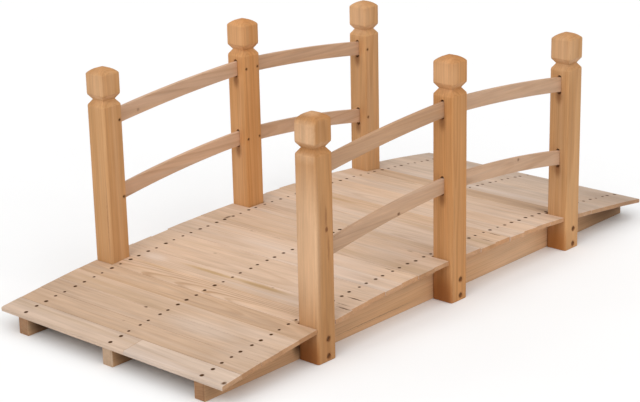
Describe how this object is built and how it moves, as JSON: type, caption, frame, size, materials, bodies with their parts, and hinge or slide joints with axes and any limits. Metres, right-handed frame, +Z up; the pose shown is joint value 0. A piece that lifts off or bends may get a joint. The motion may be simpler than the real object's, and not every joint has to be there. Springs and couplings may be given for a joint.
{
  "type": "arched garden footbridge",
  "caption": "Low arched wooden garden footbridge: planks laid across arched joists, with square capped posts and curved rails along both sides of the walkway.",
  "frame": {"origin": "on the ground under the middle of the bridge", "axes": "+X along the walkway from the near end to the far end, +Y to the left railing, +Z up"},
  "size_m": [1.4986, 0.678, 0.5601],
  "materials": {
    "deck_wood": "sanded, clear matt stain",
    "post_wood": "planed, clear satin stain",
    "rail_wood": "planed, clear matt stain",
    "joist_wood": "sawn, clear matt stain",
    "fastener_steel": "dull, browned"
  },
  "bodies": {
    "root": {"right_joist": "joist_wood", "centre_joist": "joist_wood", "left_joist": "joist_wood", "deck_plank_01": "deck_wood", "deck_plank_02": "deck_wood", "deck_plank_03": "deck_wood", "deck_plank_04": "deck_wood", "deck_plank_05": "deck_wood", "deck_plank_06": "deck_wood", "deck_plank_07": "deck_wood", "deck_plank_08": "deck_wood", "deck_plank_09": "deck_wood", "deck_plank_10": "deck_wood", "deck_plank_11": "deck_wood", "deck_plank_12": "deck_wood", "deck_plank_13": "deck_wood", "deck_plank_14": "deck_wood", "deck_plank_15": "deck_wood", "deck_plank_16": "deck_wood", "deck_plank_17": "deck_wood", "deck_plank_18": "deck_wood", "deck_plank_19": "deck_wood", "deck_plank_20": "deck_wood", "deck_plank_21": "deck_wood", "deck_plank_22": "deck_wood", "deck_plank_23": "deck_wood", "deck_plank_24": "deck_wood", "deck_plank_25": "deck_wood", "deck_plank_26": "deck_wood", "deck_plank_27": "deck_wood", "right_near_post": "post_wood", "right_middle_post": "post_wood", "right_far_post": "post_wood", "right_near_upper_rail": "rail_wood", "right_near_lower_rail": "rail_wood", "right_far_upper_rail": "rail_wood", "right_far_lower_rail": "rail_wood", "left_near_post": "post_wood", "left_middle_post": "post_wood", "left_far_post": "post_wood", "left_near_upper_rail": "rail_wood", "left_near_lower_rail": "rail_wood", "left_far_upper_rail": "rail_wood", "left_far_lower_rail": "rail_wood"}
  },
  "joints": []
}
